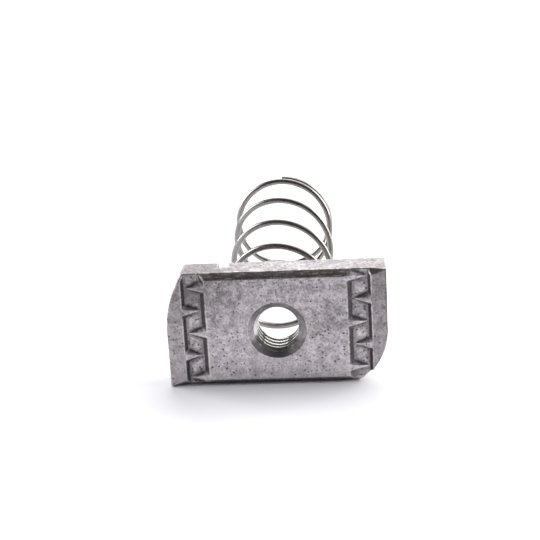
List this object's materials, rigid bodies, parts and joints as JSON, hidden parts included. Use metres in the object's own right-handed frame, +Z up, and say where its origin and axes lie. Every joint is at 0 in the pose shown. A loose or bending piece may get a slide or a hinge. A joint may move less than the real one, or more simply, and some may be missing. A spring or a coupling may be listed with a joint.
{
  "type": "strut channel spring nut",
  "caption": "Toothed strut channel nut with a countersunk threaded hole and a long coil spring staked to its back.",
  "frame": {"origin": "centre of the threaded hole on the toothed face", "axes": "-Y points out of the toothed face along the hole, the way the bolt leaves; +Y towards the spring's free end; +X along the plate; +Z up, to the long edge where the spring's leg enters its slot"},
  "size_m": [0.0356, 0.0488, 0.0223],
  "materials": {
    "nut_steel": "tumbled stainless steel, dull grey with small pits and scratches",
    "spring_wire": "bright drawn stainless wire"
  },
  "bodies": {
    "root": {"channel_nut": "nut_steel", "spring": "spring_wire"}
  },
  "joints": []
}
